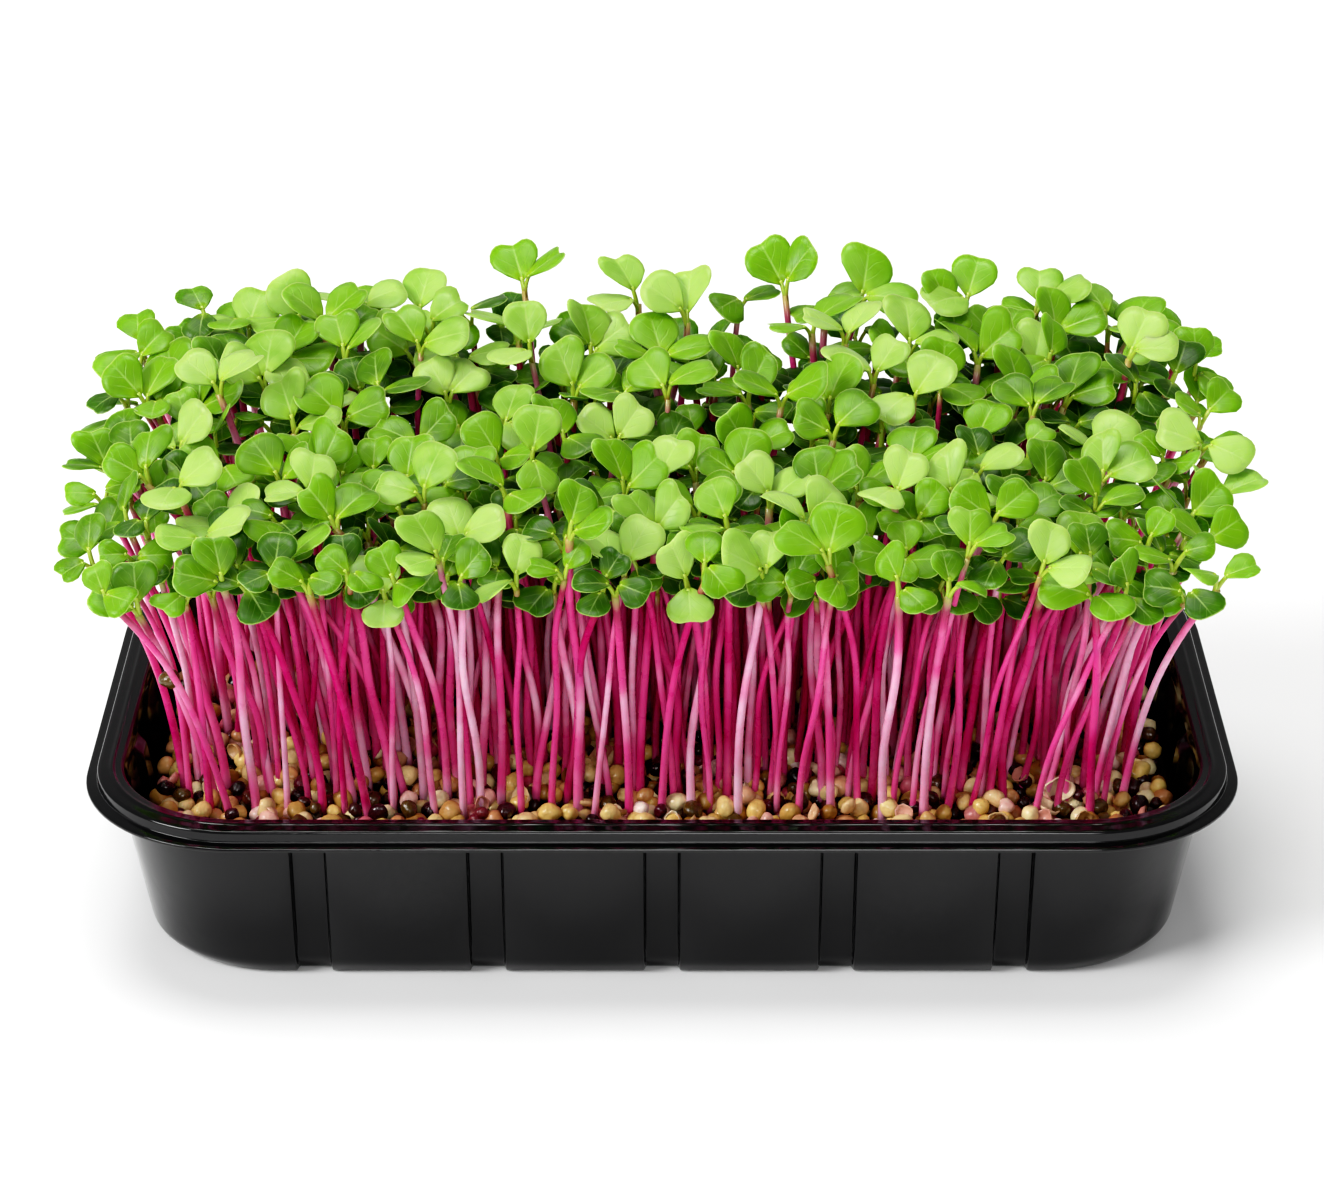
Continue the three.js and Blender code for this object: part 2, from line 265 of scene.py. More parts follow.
def make_tone_scale():
    colours = [(label, "Color", (0, 0, 0, 1)) for label in ("Deep", "Middle", "Pale")]
    tree, given, out = new_group("tone_scale", [("Tone", "Float", 0.5)] + colours, [("Color", "Color")])
    lower = blend(tree, fade(tree, given["Tone"], 0.0, 0.5), given["Deep"], given["Middle"])
    fill(tree, out["Color"], blend(tree, fade(tree, given["Tone"], 0.5, 1.0), lower, given["Pale"]))
    return tree


patches, grain, tone_scale = make_patches(), make_grain(), make_tone_scale()


def patchy(tree, scale, low=0.0, high=1.0):
    """Soft patches between a low and a high value."""
    return use_group(tree, patches, Scale=scale, Low=low, High=high)["Mask"]


def grainy(tree, scale, pits):
    return use_group(tree, grain, Scale=scale, Pits=pits)["Height"]


def add_relief(tree, shader, height, strength, distance):
    bump = add_node(tree, "Bump", Strength=strength, Distance=distance, Height=height)
    fill(tree, shader.inputs["Normal"], bump.outputs["Normal"])


# %% [markdown]
# ## Tray
# The tray is one sheet of black plastic, drawn down by vacuum over a mould. That is why all its
# corners are round, the wall tapers, and the flutes show inside as well as outside. It could be
# made from a box with bevels, but a loft is closer to how it is formed. A ring of the loft is a
# rounded rectangle that lies inside the lip's outline by its inset, with the flutes pressed in.

# %% Ring round the tray
LIP_CORNER, WALL_CORNER, CORNER_STEPS = 32.3, 25.5, 22
FLUTE_PITCH, FLUTE_WIDTH, FLUTE_DEPTH, FLUTE_BEVEL = 34.6, 7.4, 1.7, 0.65
FLUTE_STEPS = np.array([0, 0.14, 0.28, 0.42, 0.56, 0.75, 1.3, 2.6])
LONG_FLUTES = [step * FLUTE_PITCH for step in (-2, -1, 0, 1, 2)]
SHORT_FLUTES = [step * FLUTE_PITCH for step in (-0.5, 0.5)]


def smooth_step(value):
    value = np.clip(value, 0, 1)
    return value * value * (3 - 2 * value)


def tray_ring(inset, z, corner, flute=0.0):
    """One level of the tray, anticlockwise from its front left, with its flutes pressed in."""
    half_x, half_y = TRAY_LENGTH / 2 - inset, TRAY_DEPTH / 2 - inset
    ring = []
    for out, along, away, reach, flutes in (
        ((0, -1), (1, 0), half_y, half_x - corner, LONG_FLUTES),
        ((1, 0), (0, 1), half_x, half_y - corner, SHORT_FLUTES),
        ((0, 1), (-1, 0), half_y, half_x - corner, LONG_FLUTES),
        ((-1, 0), (0, -1), half_x, half_y - corner, SHORT_FLUTES),
    ):
        outward, sideways = [], []
        for centre in flutes:
            across = np.concatenate([FLUTE_STEPS, FLUTE_WIDTH - FLUTE_STEPS[::-1]]) - FLUTE_WIDTH / 2
            press = smooth_step((FLUTE_WIDTH / 2 - np.abs(across)) / FLUTE_BEVEL)
            outward.extend(away - flute * FLUTE_DEPTH * press)
            sideways.extend(centre + across)
        angle = np.linspace(0, math.pi / 2, CORNER_STEPS)
        outward.extend(away - corner + corner * np.cos(angle))
        sideways.extend(reach + corner * np.sin(angle))
        ring.append(np.outer(outward, out) + np.outer(sideways, along))
    flat = np.concatenate(ring)
    return np.column_stack([flat, np.full(len(flat), z)])


print("points round the tray:", len(tray_ring(0, 0, LIP_CORNER)))

# %% [markdown]
# ## Profile of the tray
# The profile runs from under the base up the wall, over the lip and the rim, and down inside, so
# that the sheet is a real, thin solid. Only its key points are written down, and each is rounded
# off by as much as the mould would. A bevel could round them too, but here every round has its own
# size, from the crisp edge of the lip to the soft foot.

# %% Tray profile
SHEET, FOOT_RISE = 0.9, 0.7
LIP_TOP, NECK_HEIGHT, BASE_BEVEL = RIM_TOP - 2.4, RIM_TOP - 4.6, 3.0
NECK_INSET, FOOT_INSET, BASE_INSET = 6.5, 11.1, 13.2

# Inset, height, corner radius, share of the flutes, and how far the point is rounded off.
PROFILE = [
    (30.0, FOOT_RISE, 14.0, 0.0, 0.0),
    (22.5, FOOT_RISE, 18.0, 0.0, 0.8),
    (21.3, 0.0, 19.0, 0.3, 0.6),
    (BASE_INSET, 0.0, WALL_CORNER, 1.0, 1.2),
    (FOOT_INSET, BASE_BEVEL, WALL_CORNER, 1.0, 1.2),
    (NECK_INSET + 0.1, NECK_HEIGHT - 0.7, WALL_CORNER, 1.0, 0.3),
    (NECK_INSET - 0.6, NECK_HEIGHT + 0.5, LIP_CORNER - NECK_INSET, 0.0, 0.4),
    (3.2, LIP_TOP - 1.1, LIP_CORNER - 3.2, 0.0, 0.4),
    (0.5, LIP_TOP - 1.4, LIP_CORNER - 0.5, 0.0, 0.25),
    (0.0, LIP_TOP - 1.1, LIP_CORNER, 0.0, 0.2),
    (0.0, LIP_TOP - 0.5, LIP_CORNER, 0.0, 0.25),
    (0.7, LIP_TOP - 0.32, LIP_CORNER - 0.7, 0.0, 0.3),
    (2.2, LIP_TOP - 0.05, LIP_CORNER - 2.2, 0.0, 0.22),
    (2.35, RIM_TOP - 0.45, LIP_CORNER - 2.35, 0.0, 0.4),
    (3.0, RIM_TOP - 0.2, LIP_CORNER - 3.0, 0.0, 0.3),
    (4.6, RIM_TOP - 0.1, LIP_CORNER - 4.6, 0.0, 0.3),
    (5.2, RIM_TOP + 0.2, LIP_CORNER - 5.2, 0.0, 0.35),
    (5.9, RIM_TOP - 0.05, LIP_CORNER - 5.9, 0.0, 0.3),
    (7.6, RIM_TOP - 0.15, LIP_CORNER - 7.2, 0.0, 0.6),
    (7.9, NECK_HEIGHT + 1.0, WALL_CORNER, 0.0, 0.6),
    (8.1, NECK_HEIGHT - 1.0, WALL_CORNER, 1.0, 0.6),
    (FOOT_INSET + SHEET + 0.2, BASE_BEVEL + SHEET, WALL_CORNER, 1.0, 1.0),
    (BASE_INSET + 2.4, SHEET + FOOT_RISE, WALL_CORNER, 1.0, 0.0),
]


def bezier(start, bend, end, steps):
    """Places on a curve that leaves start towards bend and comes to end from it."""
    t = np.linspace(0, 1, steps)[:, None]
    return (1 - t) ** 2 * start + 2 * t * (1 - t) * bend + t * t * end


def rounded(keys, steps=4, largest_share=0.48):
    """Replaces each key point by a short curve that starts and ends a little way from it."""
    keys = np.array(keys)
    levels = [keys[0][:4]]
    for before, key, after in zip(keys, keys[1:], keys[2:]):
        ends = []
        for other in (before, after):
            share = min(key[4] / np.linalg.norm(other[:2] - key[:2]), largest_share)
            ends.append(key[:4] + (other[:4] - key[:4]) * share)
        levels.extend(bezier(ends[0], key[:4], ends[1], steps))
    levels.append(keys[-1][:4])
    return levels


tray_rings = [tray_ring(*level) for level in rounded(PROFILE)]
tray_batch = Batch()
tray_batch.add(np.concatenate(tray_rings), loft_faces(len(tray_rings), len(tray_rings[0])))
tray = add_piece("growing_tray", tray_batch, "tray_plastic", "tray")

# %% [markdown]
# ## Black plastic
# Glossy black plastic is nearly all reflection. Its own colour is so dark that what shows is the
# pale room in it, so the roughness matters more than the colour. The gloss varies softly, as a
# drawn sheet does where it thinned, a faint waviness bends the reflections, and a little dust
# lifts the darkest parts.

# %% Black plastic
PLASTIC_BLACK = (0.0075, 0.0075, 0.008, 1)
PLASTIC_DUST = (0.035, 0.034, 0.034, 1)


def make_black_plastic():
    material, tree, shader = new_material("black_plastic")
    specks = use_group(tree, grain, Scale=1400.0, Pits=0.0)["Mask"]
    dust = maths(tree, "MULTIPLY", specks, patchy(tree, 30.0, high=0.18))
    settle(
        tree, shader,
        Base_Color=blend(tree, dust, PLASTIC_BLACK, PLASTIC_DUST),
        Roughness=patchy(tree, 55.0, low=0.06, high=0.14),
        Specular_IOR_Level=0.5,
    )
    waviness = maths(tree, "MULTIPLY_ADD", grainy(tree, 2600.0, pits=0.2), 0.06, patchy(tree, 90.0))
    add_relief(tree, shader, waviness, strength=0.14, distance=0.0002)
    return material


tray.data.materials.append(make_black_plastic())

# %% [markdown]
# ## Growing medium
# Under the seeds lies damp, dark coir. Only crumbs of it show between the seeds, but from above
# they give the bed its depth. It is a loft too: rings that shrink towards the middle, each point
# lifted a little by a few crossing waves.

# %% Growing medium
SOIL_TOP, SOIL_EDGE, SOIL_RINGS, SOIL_FLUTES = 22.6, 10.6, 26, 0.8
CRUMB_WAVES = ((0.7, 5.0, 3), (0.4, 2.3, 5))


def waves(x, y, pitch, seed=3, count=5):
    """A bumpy surface between about -1 and 1, as the sum of a few waves in drawn directions."""
    draw = np.random.default_rng(seed)
    total = np.zeros_like(x)
    for _ in range(count):
        direction, phase = draw.uniform(0, 2 * math.pi, 2)
        length = pitch * draw.uniform(0.7, 1.5)
        total += np.sin((x * math.cos(direction) + y * math.sin(direction)) * 2 * math.pi / length + phase)
    return total / math.sqrt(count)


def build_soil():
    bottom = tray_ring(FOOT_INSET + SHEET + 0.5, BASE_BEVEL + SHEET + 1.0, WALL_CORNER, 1.0)
    rings = [bottom, tray_ring(SOIL_EDGE, SOIL_TOP - 1.2, WALL_CORNER, SOIL_FLUTES)]
    for share in np.linspace(0, 1, SOIL_RINGS)[:-1]:
        ring = tray_ring(SOIL_EDGE + 0.5, SOIL_TOP, WALL_CORNER, SOIL_FLUTES * (1 - share))
        ring[:, :2] *= 1 - share
        for height, pitch, seed in CRUMB_WAVES:
            ring[:, 2] += height * waves(ring[:, 0], ring[:, 1], pitch, seed)
        rings.append(ring)
    batch = Batch()
    batch.add(np.concatenate(rings), loft_faces(len(rings), len(bottom)))
    return batch


soil = add_piece("growing_medium", build_soil(), "growing_medium", "soil")

# %% [markdown]
# ## Damp coir
# Coir is a mass of short brown fibres, and water makes it nearly black, glossy in one place and
# dull in the next. Fibres one by one would cost far more than they show in the gaps between seeds.
# Grain does for both: its mask for the brown crumbs, and its height for a strong bump.

# %% Damp coir
SOIL_DARK = (0.008, 0.004, 0.003, 1)
SOIL_BROWN = (0.05, 0.024, 0.012, 1)


def make_damp_coir():
    material, tree, shader = new_material("damp_coir")
    crumbs = use_group(tree, grain, Scale=900.0, Pits=0.8)
    colour = blend(tree, crumbs["Mask"], SOIL_DARK, SOIL_BROWN)
    settle(tree, shader, Base_Color=colour, Roughness=patchy(tree, 200.0, low=0.5, high=0.95))
    add_relief(tree, shader, crumbs["Height"], strength=0.9, distance=0.0008)
    return material


soil.data.materials.append(make_damp_coir())

# %% [markdown]
# ## One seed
# A radish seed is a wrinkled ball of about 4 mm, a little longer than it is high, with a dent where
# the root came out. Sculpting or a displace modifier would give a finer one, but there are two
# thousand of them. So each is an icosphere whose points are moved in and out by a few waves.

# %% One seed
SEED_STRETCH = np.array([1.12, 1.0, 0.9])
WRINKLE_FREQUENCIES = (2.2, 3.7, 5.5)
DENT_WIDTH, DENT_DEPTH = 0.16, 0.2


def ball(subdivisions):
    """The points and triangles of an icosphere of radius 1."""
    shape = bmesh.new()
    bmesh.ops.create_icosphere(shape, subdivisions=subdivisions, radius=1.0)
    shape.verts.ensure_lookup_table()
    points = np.array([vert.co[:] for vert in shape.verts])
    faces = [tuple(vert.index for vert in face.verts) for face in shape.faces]
    shape.free()
    return points, faces


def turned(points, draw):
    """The points after a drawn rotation."""
    axes, _ = np.linalg.qr(draw.normal(size=(3, 3)))
    if np.linalg.det(axes) < 0:
        axes[:, 0] *= -1
    return points @ axes.T


def seed_shape(points, size, wrinkle, draw):
    """A lumpy, slightly flattened ball with a dent where the root came out."""
    relief = np.zeros(len(points))
    for frequency in WRINKLE_FREQUENCIES:
        direction = draw.normal(size=3)
        direction /= np.linalg.norm(direction)
        relief += np.sin(points @ direction * frequency + draw.uniform(0, 6)) / frequency
    dent = np.exp(-((1 - points[:, 0]) / DENT_WIDTH) ** 2)
    stretched = points * SEED_STRETCH * (1 + wrinkle * relief - DENT_DEPTH * dent)[:, None]
    return turned(stretched * size, draw)


fine_ball, coarse_ball = ball(3), ball(2)
print("points in a fine and a coarse seed:", len(fine_ball[0]), len(coarse_ball[0]))

# %% [markdown]
# ## Sow the bed
# Growers sow the seeds so thickly that they touch. Scattering them with particles would work, but
# particles are lost on export. A staggered grid with each seed pushed a little off its place gives
# the same close cover and is easy to control. A second, looser layer lies in the dips of the
# first. The seeds near the front have finer balls, because those are the ones that show.

# %% Sow the bed
BED_INSET, BED_CORNER = 12.8, 22.0
SEED_PITCH, SEED_LEVEL, SEED_WRINKLE = 3.9, 25.2, 0.2
SEED_SHARES = {"tan_seeds": 0.52, "rosy_seeds": 0.11, "dark_seeds": 0.37}
PALE_SIZE, DARK_SIZE = (1.6, 2.25), (1.3, 2.0)
BED_HEAVE, HEAVE_PITCH, UNEVENNESS = 0.5, 14.0, 0.5
LOWER_JITTER, UPPER_JITTER, UPPER_SPARSER, UPPER_MARGIN = 0.8, 1.9, 1.6, 1.0


def inside_rounded(x, y, half_x, half_y, corner):
    """Whether a point lies in a rounded rectangle about the middle of the tray."""
    beyond_x = max(abs(x) - (half_x - corner), 0)
    beyond_y = max(abs(y) - (half_y - corner), 0)
    return math.hypot(beyond_x, beyond_y) < corner


def inside_bed(x, y, margin=0.0):
    inset = BED_INSET + margin
    return inside_rounded(x, y, TRAY_LENGTH / 2 - inset, TRAY_DEPTH / 2 - inset, BED_CORNER)


def staggered_places(pitch, jitter, keep):
    """Places in staggered rows, each drawn a little off its own, where keep says so."""
    places = []
    row_step = pitch * math.sqrt(3) / 2
    for row in range(int(TRAY_DEPTH / row_step)):
        for column in range(int(TRAY_LENGTH / pitch)):
            x = (column + row % 2 / 2) * pitch - TRAY_LENGTH / 2 + random.uniform(-jitter, jitter)
            y = (row + 0.5) * row_step - TRAY_DEPTH / 2 + random.uniform(-jitter, jitter)
            if keep(x, y):
                places.append((x, y))
    return np.array(places)


def sow(layer, rise, fine_before):
    """Adds a seed at each place of a layer, a rise above the bed. Those in front are finer."""
    for x, y in layer:
        points, faces = fine_ball if y < fine_before else coarse_ball
        kind = random.choice(list(SEED_SHARES), p=list(SEED_SHARES.values()))
        size = random.uniform(*(DARK_SIZE if kind == "dark_seeds" else PALE_SIZE))
        heave = BED_HEAVE * waves(np.array([x]), np.array([y]), HEAVE_PITCH)[0]
        height = SEED_LEVEL + rise + heave + random.uniform(-UNEVENNESS, UNEVENNESS)
        shape = seed_shape(points, size, SEED_WRINKLE, random)
        seeds[kind].add(shape + (x, y, height), faces, tone=random.random(), blush=random.random())


seeds = {kind: Batch() for kind in SEED_SHARES}
lower_layer = staggered_places(SEED_PITCH, LOWER_JITTER, inside_bed)
upper_layer = staggered_places(
    SEED_PITCH * UPPER_SPARSER, UPPER_JITTER, lambda x, y: inside_bed(x, y, UPPER_MARGIN))
sow(lower_layer, rise=0.0, fine_before=-22.0)
sow(upper_layer, rise=2.1, fine_before=-14.0)
print("seeds:", len(lower_layer) + len(upper_layer))

# %% [markdown]
# ## Empty seed coats
# When the seed leaves pull free, their coat is left behind as a split, empty cup. A cup could be cut
# out of a seed with a boolean, but it is simpler to keep the faces of a ball that lie below a cut,
# to add the same faces once more, smaller and turned over, and to join the two along the open edge.
# One large cup lies in front on the right, where the eye finds it.

# %% Empty seed coats
HUSK_COUNT, HUSK_SIZE, HUSK_RISE = 150, (1.7, 2.4), (2.4, 4.0)
HUSK_REACH, HUSK_MARGIN, HUSK_WAVE = (103, 52), 1.5, 0.1
HUSK_CUT, HUSK_STRETCH, HUSK_INSIDE = 0.25, (1.15, 0.95, 0.75), 0.9
SPLIT_HUSK_PLACE, SPLIT_HUSK_SIZE = (79.8, -30.4, 29.8), 2.9


def husk_shape(points, faces, size, draw):
    """A split seed coat: a thin cup, the part of a ball below a cut, with an inner face."""
    keep = points[:, 2] < HUSK_CUT
    kept = [face for face in faces if all(keep[list(face)])]
    used = sorted({i for face in kept for i in face})
    place = {old: new for new, old in enumerate(used)}
    outer = points[used] * HUSK_STRETCH
    outer = outer * (1 + HUSK_WAVE * np.sin(outer[:, :1] * 5 + draw.uniform(0, 6)))
    shell = [tuple(place[i] for i in face) for face in kept]
    edges = dict.fromkeys(edge for a, b, c in shell for edge in ((a, b), (b, c), (c, a)))
    under = len(used)
    husk_faces = shell + [(a + under, c + under, b + under) for a, b, c in shell]
    husk_faces += [(b, a, a + under, b + under) for a, b in edges if (b, a) not in edges]
    return turned(np.concatenate([outer, outer * HUSK_INSIDE]) * size, draw), husk_faces


husks = Batch()
split_husk, split_faces = husk_shape(*fine_ball, SPLIT_HUSK_SIZE, random)
husks.add(split_husk + SPLIT_HUSK_PLACE, split_faces, tone=0.9, blush=0.0)
for _ in range(HUSK_COUNT):
    x, y = (random.uniform(-reach, reach) for reach in HUSK_REACH)
    if inside_bed(x, y, HUSK_MARGIN):
        shape, faces = husk_shape(*coarse_ball, random.uniform(*HUSK_SIZE), random)
        place = (x, y, SEED_LEVEL + random.uniform(*HUSK_RISE))
        husks.add(shape + place, faces, tone=random.random(), blush=random.random())
print("empty seed coats:", len(husks.points))

# %% [markdown]
# ## Seed coats
# A sprouted seed coat is satin, wrinkled and blotched. The tone that each seed was given runs from
# tan to cream and yellow for the pale ones, and from near black to maroon for the dark ones. A
# second number, the blush, stains some of them pink, because the juice of the stems dyes them.

# %% Seed coats
COAT_LOOKS = {
    "tan_seeds": {
        "name": "tan_coat", "gloss": 0.3, "stain": (0.55, 0.22, 0.12, 1),
        "deep": (0.34, 0.15, 0.03, 1), "middle": (0.90, 0.66, 0.23, 1), "pale": (0.97, 0.88, 0.56, 1),
    },
    "rosy_seeds": {
        "name": "rosy_coat", "gloss": 0.3, "stain": (0.55, 0.03, 0.14, 1),
        "deep": (0.42, 0.07, 0.10, 1), "middle": (0.90, 0.58, 0.47, 1), "pale": (0.97, 0.86, 0.76, 1),
    },
    "dark_seeds": {
        "name": "dark_coat", "gloss": 0.18, "stain": (0.20, 0.008, 0.045, 1),
        "deep": (0.010, 0.003, 0.004, 1), "middle": (0.05, 0.008, 0.014, 1), "pale": (0.12, 0.07, 0.012, 1),
    },
    "split_husks": {
        "name": "husk_coat", "gloss": 0.42, "stain": (0.62, 0.25, 0.24, 1),
        "deep": (0.36, 0.17, 0.06, 1), "middle": (0.80, 0.58, 0.30, 1), "pale": (0.93, 0.80, 0.58, 1),
    },
}


def make_seed_coat(name, deep, middle, pale, stain, gloss):
    material, tree, shader = new_material(name)
    scale = use_group(tree, tone_scale, Tone=attribute(tree, "tone"), Deep=deep, Middle=middle, Pale=pale)
    blotch = patchy(tree, 420.0)
    blotched = blend(tree, maths(tree, "MULTIPLY", blotch, 0.36), scale["Color"], deep)
    blush = maths(tree, "MULTIPLY", fade(tree, attribute(tree, "blush"), 0.62, 0.95), 0.75)
    settle(
        tree, shader,
        Base_Color=blend(tree, blush, blotched, stain),
        Roughness=patchy(tree, 600.0, low=gloss, high=gloss + 0.25),
        Coat_Weight=0.45,
        Coat_Roughness=0.12,
        Subsurface_Weight=0.1,
        Subsurface_Radius=(1.0, 0.5, 0.25),
        Subsurface_Scale=0.0006,
    )
    height = maths(tree, "MULTIPLY_ADD", grainy(tree, 1500.0, pits=0.4), 0.35, blotch)
    add_relief(tree, shader, height, strength=0.6, distance=0.00025)
    return material


coats = {piece: make_seed_coat(**look) for piece, look in COAT_LOOKS.items()}
for name, batch in {**seeds, "split_husks": husks}.items():
    add_piece(name, batch, "seed_husk", "seed_layer").data.materials.append(coats[name])

# %% [markdown]
# ## Where the seedlings stand
# Each seedling has a foot in the bed and a top in the canopy. The feet lie on a staggered grid
# again. The canopy has two tiers. The crown is an open layer of large pairs of leaves that all
# reach the light, on a wide grid of its own, and it is higher at the back than at the front. A few
# of its places are listed one by one, the ones that make the outline of the crop. Everything else
# stops short below the crown, in its shade, which is what gives such a crop its dark depth.

# %% Plan of the canopy
STEM_PITCH, STEM_JITTER = 5.7, 1.9
FEET_MIDDLE, FEET_REACH, FEET_CORNER = np.array([0.0, 3.8]), np.array([97.0, 39.5]), 14.0
TOP_REACH, TOP_CORNER = np.array([111.0, 51.0]), 32.0
MIDDLE_HEIGHT, BACK_RISE, FRONT_DROP, SIDE_DROP = 91.5, 11.0, 4.5, 6.0
CROWN_PITCH, CROWN_JITTER, CROWN_ROOM, CROWN_SPREAD = 12.8, 2.4, 9.5, 2.6

# Tops of the stems that stand out, in mm: across, back, up.
STANDING_OUT = [
    (-29, 50, 106), (-64, 50, 101), (-5, 50, 103), (26, 50, 105), (42, 50, 103), (64, 50, 102),
    (79, 50, 101), (-51, 50, 99), (-76, 48, 98), (-87, 46, 96), (-95, 44, 92), (96, 24, 101),
    (109, 0, 91), (111, -10, 84), (106, -30, 83), (-106, 20, 92), (-111, 0, 85), (-110, -20, 79),
    (-101, -45, 76), (-52, 38, 95), (-71, 20, 93), (-18, 20, 94), (16, 28, 95), (34, 12, 94),
    (-32, 8, 92), (-49, 2, 90), (-9, 4, 90), (-88, -4, 88), (-68, -8, 88), (7, -20, 85),
    (39, -16, 87), (87, 0, 89), (63, 2, 90), (81, -36, 82), (-28, -44, 81), (5, -46, 82),
    (-53, -46, 79), (-72, -40, 83), (46, -40, 84), (103, -24, 85),
]


def canopy_height(x, y):
    back, front = max(y / TOP_REACH[1], 0), max(-y / TOP_REACH[1], 0)
    side = abs(x) / TOP_REACH[0]
    return MIDDLE_HEIGHT + BACK_RISE * back - FRONT_DROP * front ** 1.5 - SIDE_DROP * side ** 4


def in_tray(x, y):
    return inside_rounded(x - FEET_MIDDLE[0], y - FEET_MIDDLE[1], *FEET_REACH, FEET_CORNER)


def in_crown(x, y):
    return inside_rounded(x, y, *TOP_REACH, TOP_CORNER)


feet = staggered_places(STEM_PITCH, STEM_JITTER, in_tray)
feet = feet[random.permutation(len(feet))]
crown = [np.array(place, float) for place in STANDING_OUT]
for x, y in staggered_places(CROWN_PITCH, CROWN_JITTER, in_crown):
    if min(math.hypot(x - place[0], y - place[1]) for place in crown) > CROWN_ROOM:
        crown.append(np.array([x, y, canopy_height(x, y) + random.normal(0, CROWN_SPREAD)]))
print("feet:", len(feet), "tops in the crown:", len(crown))

# %% [markdown]
# ## A pair of seed leaves
# Both leaves rise from the top of the stem on short stalks. Seen from above, a pair makes a
# straight or a bent line, and in the crown most pairs are bent so far that they look like a heart.
# A leaf that points away from the picture stands steeper than one that points into it, so that most
# of them show their upper side. Leaves far below the crown are given a darker tone, which is painted
# shade, and those at the back are larger, to make up for their distance.

# %% Draw a pair of leaves
# The shade of a tier is painted shade: how much darker a pair's tone gets for each mm its top lies below the
# crown.
CROWN = {"length": (8.8, 10.8), "stalk": (1.5, 3.5), "tilt": 0.46, "hearts": 0.66, "shade": 0.0}
LOWER = {"length": (6.8, 9.0), "stalk": (2.0, 5.5), "tilt": 0.3, "hearts": 0.0, "shade": 0.045}
HEART_TURN, HEART_OPENING, WIDE_OPENING = 0.6, (0.6, 1.1), (1.1, 1.57)
LEAF_GAP, BACK_GROWTH = 0.55, 0.16
STALK_RISE, STALK_BEND, BLADE_MIDDLE = 0.9, 0.6, 0.55
STEM_FOLLOW, FRONT_LEAN, LEAN_SPREAD = 0.6, 0.22, 0.1
FACING_TILT, TILT_SPREAD, ROLL_SPREAD, LIGHT_SPREAD = 0.26, 0.14, 0.2, 0.07


def unit(vector):
    return vector / np.linalg.norm(vector)


def draw_leaf(apex, up, turn, tier, pair_light):
    """One leaf of a pair: where its blade starts, where it heads and how large it is."""
    light = np.clip(pair_light + random.normal(0, LIGHT_SPREAD), 0, 1)
    level = np.array([math.cos(turn), math.sin(turn), 0.0])
    outward = unit(level - up * (level @ up))
    tilt = tier["tilt"] + FACING_TILT * outward[1] + random.normal(0, TILT_SPREAD)
    along = outward * math.cos(tilt) + up * math.sin(tilt)
    stalk = random.uniform(*tier["stalk"])
    start = apex + up * stalk * STALK_RISE + outward * LEAF_GAP
    length = random.uniform(*tier["length"]) * (1 + BACK_GROWTH * max(apex[1] / TOP_REACH[1], 0))
    across = unit(np.cross(up, along) + up * random.normal(0, ROLL_SPREAD))
    bend = apex + (up * stalk + outward * LEAF_GAP) * STALK_BEND
    middle = start + along * length * BLADE_MIDDLE
    return {
        "start": start, "bend": bend, "middle": middle, "along": along, "across": across,
        "length": length, "light": light, "tier": tier,
    }


def draw_leaves(apex, lean, tier):
    """The two leaves of a stem that comes to its apex with a lean."""
    follow = np.array([STEM_FOLLOW * lean[0], STEM_FOLLOW * lean[1] - FRONT_LEAN, 1.0])
    up = unit(follow + random.normal(0, LEAN_SPREAD, 3))
    if tier["hearts"] and random.random() < tier["hearts"]:
        heading, opening = random.normal(math.pi / 2, HEART_TURN), random.uniform(*HEART_OPENING)
    else:
        heading, opening = random.uniform(0, 2 * math.pi), random.uniform(*WIDE_OPENING)
    # Painted shade: the further a pair's top lies below the crown, the darker its tone.
    shade = tier["shade"] * max(canopy_height(*apex[:2]) - apex[2], 0)
    pair_light = random.random() * (1 - shade)
    return [draw_leaf(apex, up, turn, tier, pair_light) for turn in (heading - opening, heading + opening)]


print("leaves, mm, in the crown:", CROWN["length"], "and below it:", LOWER["length"])

# %% [markdown]
# ## Raise the seedlings
# The crown's tops go first, each over one of the feet that lie nearest to it, so that the stems
# lean a little and cross. The feet that are left get tops below the crown. Along the back stands a
# curtain of extra low ones, because there the view would otherwise end in the bare room. For each
# seedling, several pairs are drawn, and the one that crowds its neighbours least is kept. A physics
# simulation could push the leaves apart instead, but it is slow and hard to steer.

# %% Raise the seedlings
TRIES, LEAF_ROOM, FEET_TO_CHOOSE = 14, 8.0, 4
TOP_SPREAD, TOP_JITTER, EDGE_RISE = 0.96, 5.0, 0.85
FOOT_DEPTH = 1.5
LOWER_DROP, BACK_DROP, BACK_ROWS = (3.0, 28.0), 38.0, 0.4
CURTAIN_PITCH, CURTAIN_START, CURTAIN_DROP = 7.5, 27.0, (8.0, 36.0)


def spread(foot):
    """Where a foot stands between the middle of the bed, 0, and its edges, 1 or -1."""
    return (foot - FEET_MIDDLE) / FEET_REACH


def lower_drop(top):
    """How far a top stays below the crown. At the back some stay much lower than others."""
    drop = random.uniform(*LOWER_DROP)
    if top[1] > BACK_ROWS * TOP_REACH[1]:
        drop = BACK_DROP * random.beta(0.7, 1.5)
    return drop


def curtain_drop(top):
    return random.uniform(*CURTAIN_DROP)


